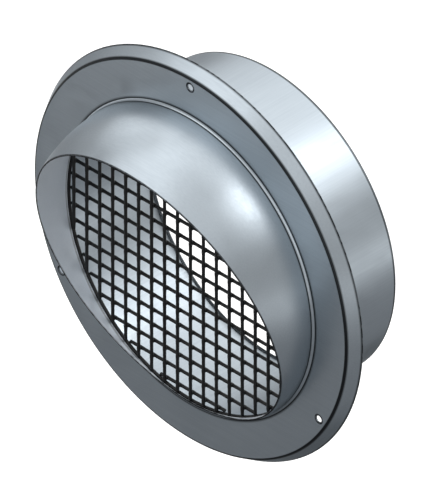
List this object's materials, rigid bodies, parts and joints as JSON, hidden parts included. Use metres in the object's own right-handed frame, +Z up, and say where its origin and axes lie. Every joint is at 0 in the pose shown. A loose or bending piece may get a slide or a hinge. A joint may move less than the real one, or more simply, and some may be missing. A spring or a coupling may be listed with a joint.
{
  "type": "wall vent grille",
  "caption": "External bull-nose wall vent: pressed steel cowl with a slanted mouth and flared rim, round duct spigot behind it and a square wire mesh across the opening.",
  "frame": {"origin": "on the duct's axis, in the plane of the wall's face, where the rim's back edge rests", "axes": "+Y along the duct, into the wall; the hood and its mouth face -Y; +Z up, with the closed side of the hood on top and the mouth's low lip at the bottom"},
  "size_m": [0.2586, 0.1157, 0.2586],
  "materials": {
    "satin_steel": "satin stainless sheet, pressed and lightly brushed",
    "black_wire": "black coated round wire, semi-gloss"
  },
  "bodies": {
    "root": {"front_cowl": "satin_steel", "duct_spigot": "satin_steel", "mesh_hoop": "black_wire", "upright_wire_01": "black_wire", "upright_wire_02": "black_wire", "upright_wire_03": "black_wire", "upright_wire_04": "black_wire", "upright_wire_05": "black_wire", "upright_wire_06": "black_wire", "upright_wire_07": "black_wire", "upright_wire_08": "black_wire", "upright_wire_09": "black_wire", "upright_wire_10": "black_wire", "upright_wire_11": "black_wire", "upright_wire_12": "black_wire", "upright_wire_13": "black_wire", "upright_wire_14": "black_wire", "upright_wire_15": "black_wire", "upright_wire_16": "black_wire", "upright_wire_17": "black_wire", "upright_wire_18": "black_wire", "upright_wire_19": "black_wire", "cross_wire_01": "black_wire", "cross_wire_02": "black_wire", "cross_wire_03": "black_wire", "cross_wire_04": "black_wire", "cross_wire_05": "black_wire", "cross_wire_06": "black_wire", "cross_wire_07": "black_wire", "cross_wire_08": "black_wire", "cross_wire_09": "black_wire", "cross_wire_10": "black_wire", "cross_wire_11": "black_wire", "cross_wire_12": "black_wire", "cross_wire_13": "black_wire", "cross_wire_14": "black_wire", "cross_wire_15": "black_wire", "cross_wire_16": "black_wire", "cross_wire_17": "black_wire", "cross_wire_18": "black_wire", "cross_wire_19": "black_wire"}
  },
  "joints": []
}
